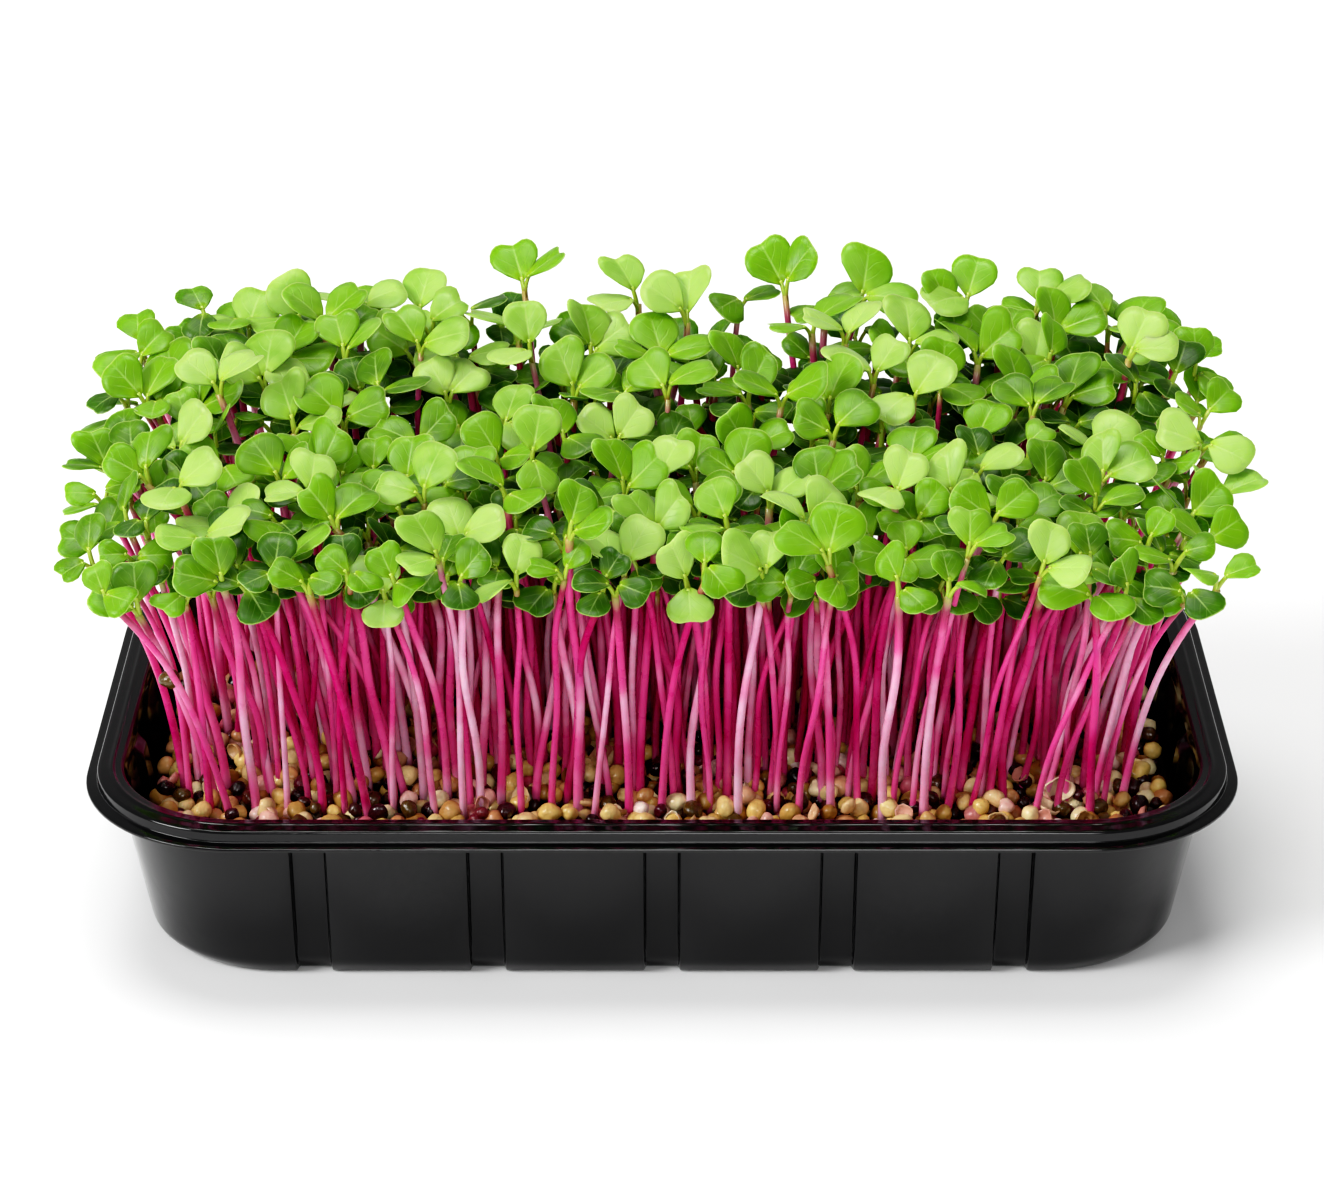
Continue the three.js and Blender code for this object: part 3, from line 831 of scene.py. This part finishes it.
def lower_tops(foot, draw_drop):
    """Tops to choose from, below the crown, but less far below it near the ends and the front."""
    tops = []
    for _ in range(TRIES):
        top = spread(foot) * TOP_REACH * TOP_SPREAD + random.normal(0, TOP_JITTER, 2)
        top = np.clip(top, -TOP_REACH, TOP_REACH)
        edge = max(abs(top[0]) / TOP_REACH[0], -top[1] / TOP_REACH[1], 0)
        drop = draw_drop(top) * (1 - EDGE_RISE * edge ** 1.6)
        tops.append(np.array([*top, canopy_height(*top) - drop]))
    return tops


def crowding(leaves):
    if not taken:
        return 0.0
    middles = np.array([leaf["middle"] for leaf in leaves])
    gaps = np.linalg.norm(np.array(taken)[None] - middles[:, None], axis=2)
    return float((np.clip(LEAF_ROOM - gaps, 0, None) ** 2).sum())


def raise_seedling(foot, tops, tier):
    choices = []
    for apex in tops:
        leaves = draw_leaves(apex, (apex[:2] - foot) / apex[2], tier)
        choices.append((crowding(leaves), len(choices), apex, leaves))
    _, _, apex, leaves = min(choices, key=lambda choice: choice[:2])
    taken.extend(leaf["middle"] for leaf in leaves)
    foot = np.array([*foot, SEED_LEVEL - FOOT_DEPTH])
    seedlings.append({"foot": foot, "apex": apex, "leaves": leaves})


seedlings, taken = [], []
free_feet = list(feet)
for apex in crown:
    distances = [np.linalg.norm(spread(foot) - apex[:2] / TOP_REACH) for foot in free_feet]
    nearest = random.choice(np.argsort(distances)[:FEET_TO_CHOOSE])
    raise_seedling(free_feet.pop(int(nearest)), [apex] * TRIES, CROWN)
for foot in free_feet:
    raise_seedling(foot, lower_tops(foot, lower_drop), LOWER)
for foot in staggered_places(CURTAIN_PITCH, STEM_JITTER, lambda x, y: in_tray(x, y) and y > CURTAIN_START):
    raise_seedling(foot, lower_tops(foot, curtain_drop), LOWER)
print("seedlings:", len(seedlings), "leaves:", len(taken))

# %% [markdown]
# ## Stems and stalks
# A stem is a tube of between 1 and 2 mm that swells a little at its foot. Curve objects with a
# bevel would make such tubes, but then the tone of each stem couldn't travel with its points. So
# the tubes are swept here: a ring of points is set square to the path at each step. The path starts
# upright and bends towards its top, with a slight wander, and the two stalks leave it in a V.

# %% Sweep a tube
STEM_SIDES, STEM_STEPS = 8, 15
STALK_SIDES, STALK_STEPS = 6, 6
STEM_RISE, STEM_LEAN, STEM_WANDER, STEM_TURNS = (0.45, 0.7), (0.05, 0.4), 1.5, (1.0, 2.4)
along_stem = np.linspace(0, 1, STEM_STEPS)


def sweep(path, radii, sides, flatness=1.0, wide=(1.0, 0.0, 0.0)):
    """The rings of a tube along a path. Flatness below 1 makes the section an oval."""
    tangents = np.gradient(path, axis=0)
    tangents /= np.linalg.norm(tangents, axis=1)[:, None]
    first = np.asarray(wide) - tangents * (tangents @ np.asarray(wide))[:, None]
    first /= np.linalg.norm(first, axis=1)[:, None]
    second = np.cross(tangents, first) * flatness
    angle = np.linspace(0, 2 * math.pi, sides, endpoint=False)[None, :, None]
    section = np.cos(angle) * first[:, None] + np.sin(angle) * second[:, None]
    return (path[:, None] + section * radii[:, None, None]).reshape(-1, 3)


def stem_path(seedling):
    foot, apex = seedling["foot"], seedling["apex"]
    rise, lean = random.uniform(*STEM_RISE), random.uniform(*STEM_LEAN)
    bend = foot + (apex - foot) * np.array([lean, lean, rise])
    path = bezier(foot, bend, apex, STEM_STEPS)
    turns, phase = random.uniform(*STEM_TURNS), random.uniform(0, 6)
    wander = np.sin(along_stem * math.pi * turns + phase) * np.sin(along_stem * math.pi)
    for axis in (0, 1):
        path[:, axis] += wander * random.uniform(-STEM_WANDER, STEM_WANDER)
    return path


print("points in a stem and a stalk:", STEM_SIDES * STEM_STEPS, STALK_SIDES * STALK_STEPS)

# %% [markdown]
# ## Grow the stems
# Every seedling now gets its stem and its two stalks. All of them go into two meshes, because
# nearly two thousand objects would be slow to handle. Each stem carries its tone and how far up it
# a point lies, so that one material can colour them all from foot to neck.

# %% Grow the stems
STEM_RADIUS, FOOT_SWELL, SWELL_FADE, TOP_TAPER = (0.6, 0.92), 0.25, 14, 0.1
STALK_RADIUS, STALK_TIP, STALK_FLATNESS = 0.75, 0.5, 0.8
STALK_IN_STEM, STALK_IN_LEAF = 0.35, 1.2

stems, stalks = Batch(), Batch()
stem_faces = loft_faces(STEM_STEPS, STEM_SIDES)
stalk_faces = loft_faces(STALK_STEPS, STALK_SIDES)
along_stalk = np.repeat(np.linspace(0, 1, STALK_STEPS), STALK_SIDES)
for seedling in seedlings:
    radius = random.uniform(*STEM_RADIUS)
    radii = radius * (1 + FOOT_SWELL * np.exp(-along_stem * SWELL_FADE) - TOP_TAPER * along_stem)
    path = seedling["path"] = stem_path(seedling)
    tone = random.beta(1.9, 1.6)
    stems.add(sweep(path, radii, STEM_SIDES), stem_faces, tone=tone, along=np.repeat(along_stem, STEM_SIDES))
    for leaf in seedling["leaves"]:
        start = path[-1] - (path[-1] - path[-2]) * STALK_IN_STEM
        end = leaf["start"] + leaf["along"] * STALK_IN_LEAF
        stalk_radii = np.linspace(radius * STALK_RADIUS, STALK_TIP, STALK_STEPS)
        stalk = bezier(start, leaf["bend"], end, STALK_STEPS)
        shape = sweep(stalk, stalk_radii, STALK_SIDES, STALK_FLATNESS, leaf["across"])
        stalks.add(shape, stalk_faces, tone=tone, along=along_stalk)
print("stems:", len(stems.points), "stalks:", len(stalks.points))

# %% [markdown]
# ## A seed coat stuck to a stem
# Now and then a coat rides up with its seedling and stays stuck to the stem. It is a seed like the
# others. It could be placed by hand, but the stems are drawn, so it looks for the point of a stem
# that lies nearest to the place where it should be.

# %% A seed coat stuck to a stem
STUCK_PLACE, STUCK_SIZE, STUCK_WRINKLE = np.array([-93.0, -37.0, 59.0]), 1.95, 0.16
IN_FRONT_OF_STEM = (0, -2.0, 0)

stem_points = np.concatenate([seedling["path"] for seedling in seedlings])
nearest = stem_points[np.argmin(np.linalg.norm(stem_points - STUCK_PLACE, axis=1))]
stuck_shape = seed_shape(fine_ball[0], STUCK_SIZE, STUCK_WRINKLE, random)
stuck = Batch()
stuck.add(stuck_shape + nearest + IN_FRONT_OF_STEM, fine_ball[1], tone=0.95, blush=0.0)
add_piece("stuck_seed", stuck, "seed_husk").data.materials.append(coats["dark_seeds"])

# %% [markdown]
# ## Stem colour
# Radish stems run from deep magenta to pale pink, and no two are alike. They are paler and mottled
# at the foot, dark red at the neck and green where the stalks begin. The dark red at the neck, under
# the leaves, is partly their own colour and partly painted shade. A texture painted along the stem
# would fit only one, so the colour comes from each stem's own tone and from how far up a point lies.
# The flesh is watery: light goes in a little and comes out red, under a thin, glossy skin.

# %% Stem colour
STEM_DEEP = (0.56, 0.009, 0.15, 1)
STEM_PINK = (0.82, 0.10, 0.33, 1)
STEM_PALE = (0.97, 0.60, 0.77, 1)
# Partly the stems' own red and partly painted shade under the leaves.
NECK_RED_AND_SHADE = (0.22, 0.02, 0.02, 1)
STALK_GREEN = (0.36, 0.50, 0.06, 1)


def finish_stem(tree, shader, colour):
    settle(
        tree, shader,
        Base_Color=colour,
        Roughness=patchy(tree, 300.0, low=0.24, high=0.4),
        Coat_Weight=0.3,
        Coat_Roughness=0.22,
        Subsurface_Weight=0.25,
        Subsurface_Radius=(1.0, 0.25, 0.4),
        Subsurface_Scale=0.0012,
    )
    add_relief(tree, shader, grainy(tree, 700.0, pits=0.1), strength=0.25, distance=0.0001)


def make_stem_material():
    material, tree, shader = new_material("radish_stem")
    along = attribute(tree, "along")
    tone = maths(tree, "ADD", attribute(tree, "tone"), patchy(tree, 38.0, low=-0.28, high=0.28))
    scale = use_group(tree, tone_scale, Tone=tone, Deep=STEM_DEEP, Middle=STEM_PINK, Pale=STEM_PALE)
    blotch = patchy(tree, 160.0, high=0.35)
    mottled = blend(tree, blotch, scale["Color"], STEM_PINK)
    foot_share = fade(tree, along, 0.0, 0.3, low=0.5, high=0.0)
    paler = blend(tree, maths(tree, "MULTIPLY", foot_share, blotch), mottled, STEM_PALE)
    # Darker red at the neck, under the leaves: partly own colour, partly painted shade.
    necked = blend(tree, fade(tree, along, 0.78, 0.95, high=0.7), paler, NECK_RED_AND_SHADE)
    finish_stem(tree, shader, blend(tree, fade(tree, along, 0.93, 1.0, high=0.6), necked, STALK_GREEN))
    return material


def make_stalk_material():
    material, tree, shader = new_material("leaf_stalk")
    along = maths(tree, "ADD", attribute(tree, "along"), patchy(tree, 200.0, low=-0.1, high=0.25))
    # The stalks start in the same dark red, partly own colour, partly painted shade under the leaves.
    finish_stem(tree, shader, blend(tree, fade(tree, along, 0.0, 0.45), NECK_RED_AND_SHADE, STALK_GREEN))
    return material


add_piece("stems", stems, "seedling", *bunches).data.materials.append(make_stem_material())
add_piece("leaf_stalks", stalks, "seedling").data.materials.append(make_stalk_material())

# %% [markdown]
# ## Shape of a seed leaf
# A radish seed leaf is a rounded heart: broad, with a shallow notch at its tip. Its mesh is a fan
# of rays from the stalk, because the veins run that way too. Each ray is cut off by the outline,
# and the blade is then folded a little along its rib, bowed, and waved at its edge. An upper and a
# lower face with a narrow rim between them make it a real, thin solid.

# %% Shape of a seed leaf
FAN = math.radians(51)
FIRST_RING = 0.6
BLADE_THICKNESS, RIM_THINNING = 0.4, 0.7
OUTLINE_ROUNDNESS, OUTLINE_END, NOTCH_WIDTH = 0.33, 0.985, 0.24
RIB_DEPTH, RIB_WIDTH = 0.14, 0.7


def leaf_outline(angle, notch, skew):
    """How far the blade reaches at each angle from its rib, as a share of its length."""
    reach = np.cos(angle / FAN * math.pi / 2 * OUTLINE_END) ** OUTLINE_ROUNDNESS
    return reach * (1 - notch * np.exp(-((angle / NOTCH_WIDTH) ** 2))) * (1 + skew * np.sin(angle))


def leaf_points(leaf, rays, rings):
    """Upper and lower points of a blade, and where each one lies along and across it."""
    angle = np.linspace(-FAN, FAN, rays)
    share = np.linspace(0, 1, rings)[:, None]
    length = leaf["length"]
    outline = leaf_outline(angle, leaf["notch"], leaf["skew"]) * length
    reach = FIRST_RING + (outline - FIRST_RING) * share
    x = reach * np.cos(angle)
    y = reach * np.sin(angle) * leaf["breadth"]
    wave = leaf["wave"] * np.sin(angle * leaf["waves"] + leaf["phase"]) * share ** 2
    rib = RIB_DEPTH * np.exp(-((y / RIB_WIDTH) ** 2)) * (1 - share * 0.6)
    lift = leaf["cup"] * y * y - leaf["bow"] * x * x + leaf["fold"] * np.abs(y) + wave - rib
    upper_side = np.cross(leaf["along"], leaf["across"])
    middle = (
        leaf["start"]
        + x[..., None] * leaf["along"]
        + y[..., None] * leaf["across"]
        + lift[..., None] * upper_side
    )
    half = BLADE_THICKNESS / 2 * (1 - RIM_THINNING * share ** 3) * np.ones_like(x)
    offset = half[..., None] * upper_side
    points = np.concatenate([(middle + offset).reshape(-1, 3), (middle - offset).reshape(-1, 3)])
    return points, x / length, y / length


def leaf_faces(rays, rings):
    faces = []
    under = rays * rings
    for ring in range(rings - 1):
        for ray in range(rays - 1):
            a = ring * rays + ray
            b, c, d = a + 1, a + rays + 1, a + rays
            faces.append((a, d, c, b))
            faces.append((under + a, under + b, under + c, under + d))
    border = list(range(rays))
    border += [ring * rays + rays - 1 for ring in range(1, rings)]
    border += [(rings - 1) * rays + ray for ray in range(rays - 2, -1, -1)]
    border += [ring * rays for ring in range(rings - 2, 0, -1)]
    for a, b in zip(border, border[1:] + border[:1]):
        faces.append((a, b, under + b, under + a))
    return faces


print("faces in a small leaf:", len(leaf_faces(13, 4)))

# %% [markdown]
# ## Unfold the leaves
# Every leaf draws its own notch, skew, cup and wave, within the ranges seen on real ones. One leaf
# copied a thousand times would be lighter, but the eye soon finds the copies. The crown's leaves
# are large in the picture and get a finer mesh than the ones in their shade.

# %% Unfold the leaves
CROWN_MESH, LOWER_MESH = (17, 6), (13, 4)
LEAST_NOTCH, NOTCH_SPREAD, SKEW_SPREAD = 0.03, 0.20, 0.08
LEAF_RANGES = {
    "breadth": (0.98, 1.16), "cup": (-0.05, -0.005), "bow": (0.0, 0.03), "fold": (0.0, 0.3),
    "wave": (0.0, 0.4), "waves": (2.0, 4.5), "phase": (0, 6),
}

upper_leaves, lower_leaves = Batch(), Batch()
for seedling in seedlings:
    for leaf in seedling["leaves"]:
        leaf["notch"] = LEAST_NOTCH + NOTCH_SPREAD * random.beta(1.3, 1.8)
        leaf["skew"] = random.normal(0, SKEW_SPREAD)
        leaf.update((name, random.uniform(*ends)) for name, ends in LEAF_RANGES.items())
        in_light = leaf["tier"] is CROWN
        batch, (rays, rings) = (upper_leaves, CROWN_MESH) if in_light else (lower_leaves, LOWER_MESH)
        points, blade_x, blade_y = leaf_points(leaf, rays, rings)
        # A leaf's tone is its drawn tone with the painted shade of its depth below the crown.
        batch.add(
            points, leaf_faces(rays, rings), tone=leaf["light"],
            rim=np.tile(np.repeat(np.linspace(0, 1, rings), rays), 2),
            under=np.repeat([0.0, 1.0], rays * rings),
            blade_x=np.tile(blade_x.ravel(), 2), blade_y=np.tile(blade_y.ravel(), 2),
        )
print("leaves in the crown and below it:", len(upper_leaves.points), len(lower_leaves.points))

# %% [markdown]
# ## Veins
# A seed leaf has one pale rib and a few faint side veins that leave it at a slant. They could be
# painted, but every leaf knows where each of its points lies along and across the blade, and from
# those two numbers the veins follow. Both leaf materials use them, so they are a group.

# %% Veins
VEIN_COUNT, VEIN_SLANT = 4.2, 1.15


def make_veins():
    """A rib down the middle and side veins that leave it at a slant, from a blade's own x and y."""
    inputs = [("Along", "Float", 0.0), ("Across", "Float", 0.0)]
    tree, given, out = new_group("leaf_veins", inputs, [("Rib", "Float"), ("Veins", "Float")])
    away = maths(tree, "ABSOLUTE", given["Across"])
    rib = fade(tree, away, 0.008, 0.03, low=1.0, high=0.0)
    fading_tip = fade(tree, given["Along"], 0.3, 0.95, low=1.0, high=0.2)
    slanted = maths(tree, "SUBTRACT", given["Along"], maths(tree, "MULTIPLY", away, VEIN_SLANT))
    place = add_node(tree, "TexCoord").outputs["Object"]
    drift = add_node(tree, "TexNoise", Vector=place, Scale=260.0, Detail=1.0).outputs["Fac"]
    repeated = maths(tree, "FRACT", maths(tree, "MULTIPLY_ADD", slanted, VEIN_COUNT, drift))
    from_vein = maths(tree, "ABSOLUTE", maths(tree, "SUBTRACT", repeated, 0.5))
    side = fade(tree, from_vein, 0.02, 0.09, low=1.0, high=0.0)
    near_rib = fade(tree, away, 0.1, 0.45, low=1.0, high=0.0)
    fill(tree, out["Rib"], maths(tree, "MULTIPLY", rib, fading_tip))
    fill(tree, out["Veins"], maths(tree, "MULTIPLY", side, near_rib))
    return tree


veins = make_veins()

# %% [markdown]
# ## Leaf green
# Seed leaves are juicy, so some of the light goes in, and their skin has a soft sheen. The yellow-green
# near the stalk is a painted glow that stands in for that light. The underside is paler. A translucent
# shader would let the light through, but subsurface scattering also softens it, which is what flesh
# does. The crown's leaves get a lighter scale of greens than the ones in their shade: the same material
# with painted light for the crown and painted shade below it.

# %% Leaf green
LEAF_DARK = (0.034, 0.100, 0.001, 1)
LEAF_MIDDLE = (0.14, 0.31, 0.004, 1)
LEAF_LIGHT = (0.33, 0.51, 0.12, 1)
LEAF_VEIN = (0.44, 0.60, 0.20, 1)
# A painted glow, for the light that shines through the blade by the stalk.
LEAF_PAINTED_GLOW = (0.34, 0.54, 0.02, 1)
LEAF_UNDER = (0.24, 0.42, 0.08, 1)
# The crown's added tone is painted light; the negative one for the leaves below is painted shade.
TONE_SPREAD, CROWN_PAINTED_LIGHT, SHADE_PAINTED_LIGHT = 0.75, 0.22, -0.05


def leaf_green(tree, lines, tier_painted_light):
    """The colour of a blade: its green with the tier's painted light, a painted glow by the stalk, veins, a
    pale rim and underside.
    """
    blade_x, blade_y = attribute(tree, "blade_x"), attribute(tree, "blade_y")
    # The tone carries painted shade for depth, and the tier adds its painted light.
    tone_and_painted_light = maths(tree, "MULTIPLY_ADD", attribute(tree, "tone"), TONE_SPREAD, tier_painted_light)
    tone = maths(tree, "ADD", tone_and_painted_light, patchy(tree, 110.0, low=-0.08, high=0.12))
    scale = use_group(tree, tone_scale, Tone=tone, Deep=LEAF_DARK, Middle=LEAF_MIDDLE, Pale=LEAF_LIGHT)
    # Painted glow: yellow-green by the stalk, beside the rib, in place of light that shines through.
    beside_rib = fade(tree, maths(tree, "ABSOLUTE", blade_y), 0.03, 0.26, low=1.0, high=0.15)
    near_stalk = fade(tree, blade_x, 0.02, 0.4, low=0.6, high=0.0)
    colour = blend(tree, maths(tree, "MULTIPLY", near_stalk, beside_rib), scale["Color"], LEAF_PAINTED_GLOW)
    colour = blend(tree, maths(tree, "MULTIPLY", lines["Veins"], 0.1), colour, LEAF_VEIN)
    colour = blend(tree, maths(tree, "MULTIPLY", lines["Rib"], 0.45), colour, LEAF_VEIN)
    colour = blend(tree, fade(tree, attribute(tree, "rim"), 0.96, 1.0, high=0.6), colour, LEAF_VEIN)
    return blend(tree, maths(tree, "MULTIPLY", attribute(tree, "under"), 0.7), colour, LEAF_UNDER)


def make_leaf_material(name, tier_painted_light):
    material, tree, shader = new_material(name)
    lines = use_group(tree, veins, Along=attribute(tree, "blade_x"), Across=attribute(tree, "blade_y"))
    settle(
        tree, shader,
        Base_Color=leaf_green(tree, lines, tier_painted_light),
        Roughness=patchy(tree, 240.0, low=0.34, high=0.5),
        Specular_IOR_Level=0.36,
        Sheen_Weight=0.06,
        Sheen_Roughness=0.45,
        Subsurface_Weight=0.45,
        Subsurface_Radius=(0.6, 1.0, 0.15),
        Subsurface_Scale=0.0012,
    )
    sunken = maths(tree, "ADD", lines["Rib"], lines["Veins"])
    fine = maths(tree, "MULTIPLY", grainy(tree, 1600.0, pits=0.15), 0.35)
    add_relief(tree, shader, maths(tree, "SUBTRACT", fine, sunken), strength=0.3, distance=0.00012)
    return material


# One leaf material in two copies: painted light for the crown, painted shade below it.
crown_leaf = make_leaf_material("leaf_with_painted_light", CROWN_PAINTED_LIGHT)
shaded_leaf = make_leaf_material("leaf_with_painted_shade", SHADE_PAINTED_LIGHT)
add_piece("upper_seed_leaves", upper_leaves, "seedling").data.materials.append(crown_leaf)
add_piece("lower_seed_leaves", lower_leaves, "seedling").data.materials.append(shaded_leaf)

# %% [markdown]
# ## Floor and light
# The room is a pale floor under soft white light, so that nothing but the tray has a colour. The
# strongest lamp stands in front on the left and gives the leaves their soft sheen. A second one
# hangs overhead, a third stands low in front and lights the seeds and the wall, and the world
# fills in the shadows.

# %% Floor and light
FLOOR_SIZE = 12.0
FLOOR_WHITES = ((0.9, 0.9, 0.9, 1), (0.92, 0.92, 0.92, 1))
AIM = Vector((0, 0, 0.05))
WORLD_STRENGTH = 0.31

# Name, place, size and power of each lamp, in metres and watts.
LAMPS = [
    ("overhead", (-0.3, 0.7, 3.5), 2.2, 80),
    ("front_left", (-3.4, -1.9, 2.8), 2.2, 162),
    ("front_fill", (0.3, -4.0, 1.7), 1.6, 52),
]


def make_floor():
    bpy.ops.mesh.primitive_plane_add(size=FLOOR_SIZE)
    floor = bpy.context.object
    floor.name = "floor"
    material, tree, shader = new_material("pale_floor")
    colour = blend(tree, patchy(tree, 6.0), *FLOOR_WHITES)
    settle(tree, shader, Base_Color=colour, Roughness=0.9, Specular_IOR_Level=0.1)
    floor.data.materials.append(material)


def add_lamp(name, place, size, power):
    data = bpy.data.lights.new(name, "AREA")
    data.shape = "DISK"
    data.size = size
    data.energy = power
    lamp = bpy.data.objects.new(name, data)
    lamp.location = place
    lamp.rotation_euler = (AIM - Vector(place)).to_track_quat("-Z", "Y").to_euler()
    bpy.context.collection.objects.link(lamp)


make_floor()
for lamp in LAMPS:
    add_lamp(*lamp)
world = bpy.data.worlds.new("studio")
world.use_nodes = True
settle(world.node_tree, world.node_tree.nodes["Background"], Color=(1, 1, 1, 1), Strength=WORLD_STRENGTH)
bpy.context.scene.world = world
print("lamps:", [name for name, *_ in LAMPS])

# %% [markdown]
# ## Contrast
# A camera deepens the shadows and lifts the lights a little. The same is done here with a gentle
# curve over the linear picture, so that the dark gaps between the stems stay dark.

# %% Contrast
CONTRAST_CURVE = [(0.02, 0.004), (0.06, 0.033), (0.22, 0.225), (0.6, 0.68)]
ALL_CHANNELS = 3

view = bpy.context.scene.view_settings
view.view_transform = "Standard"
view.use_curve_mapping = True
for darkness, brightness in CONTRAST_CURVE:
    view.curve_mapping.curves[ALL_CHANNELS].points.new(darkness, brightness)
view.curve_mapping.update()
print("points added to the curve:", len(CONTRAST_CURVE))
